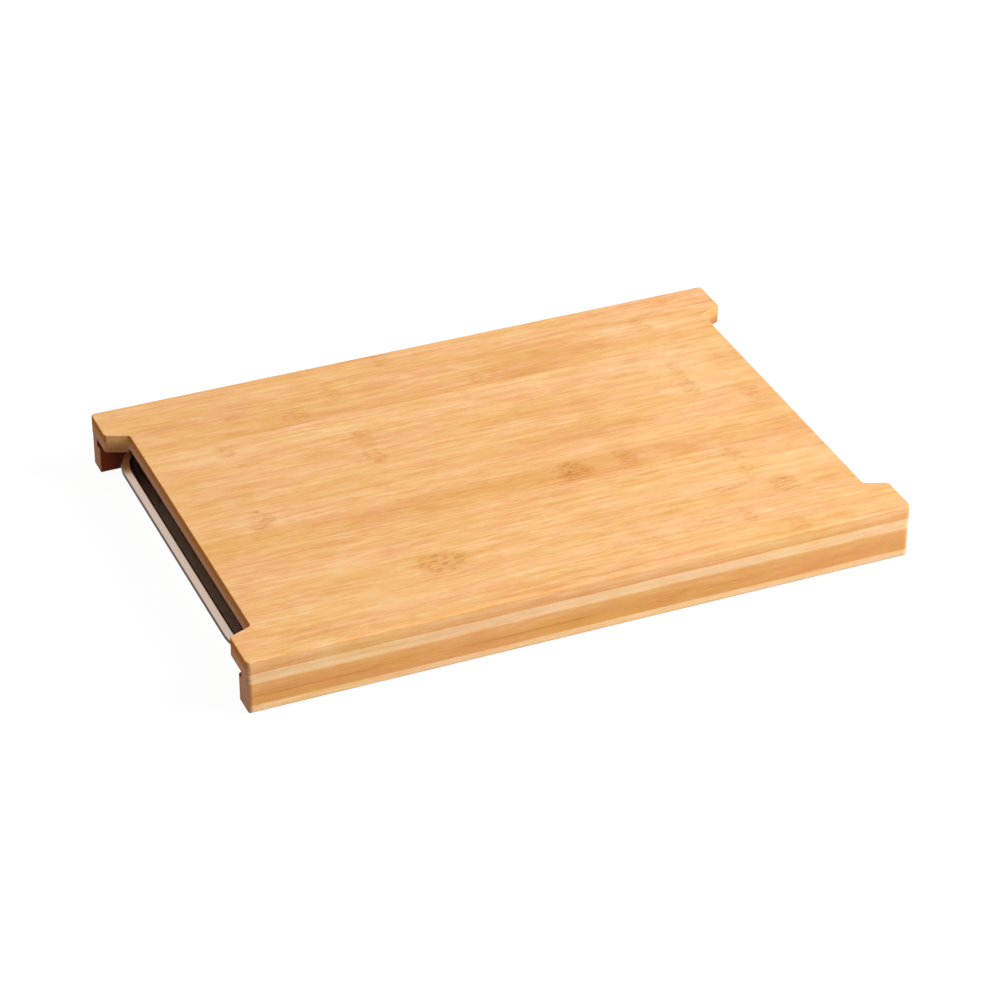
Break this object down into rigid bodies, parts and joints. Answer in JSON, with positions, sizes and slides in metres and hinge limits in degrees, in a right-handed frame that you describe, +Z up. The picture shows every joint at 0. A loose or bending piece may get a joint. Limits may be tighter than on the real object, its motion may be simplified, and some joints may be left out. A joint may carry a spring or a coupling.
{
  "type": "cutting board with drawer trays",
  "caption": "Two-layer bamboo cutting board on two grooved rails, with a steel tray that slides out from under each notched end.",
  "frame": {"origin": "on the surface that the board stands on, under the middle of the board", "axes": "+X along the board to the end at the right in the picture, +Y from its front to its back, +Z up"},
  "size_m": [0.4, 0.2776, 0.0346],
  "materials": {
    "bamboo_top": "oiled flat-pressed bamboo, honey colour, fine straight grain along the board",
    "bamboo_bottom": "oiled bamboo, paler",
    "bamboo_rail": "oiled bamboo, browner, sanded round at the lower edges",
    "tray_steel": "satin stainless sheet, pressed",
    "screw_steel": "stainless, with a cross slot",
    "foot_silicone": "matt grey silicone"
  },
  "bodies": {
    "board": {"top_layer": "bamboo_top", "bottom_layer": "bamboo_bottom", "front_groove_strip": "bamboo_bottom", "back_groove_strip": "bamboo_bottom", "front_rail": "bamboo_rail", "back_rail": "bamboo_rail", "centre_stop": "bamboo_rail", "front_rail_screws": "screw_steel", "back_rail_screws": "screw_steel", "stop_screws": "screw_steel", "foot_front_left": "foot_silicone", "foot_front_right": "foot_silicone", "foot_back_left": "foot_silicone", "foot_back_right": "foot_silicone"},
    "left_tray": {"left_tray": "tray_steel"},
    "right_tray": {"right_tray": "tray_steel"}
  },
  "joints": [
    {"name": "left_tray_slide", "type": "slide", "parent": "board", "child": "left_tray", "axis": [-1, 0, 0], "range_m": [0, 0.2]},
    {"name": "right_tray_slide", "type": "slide", "parent": "board", "child": "right_tray", "axis": [1, 0, 0], "range_m": [0, 0.2]}
  ]
}
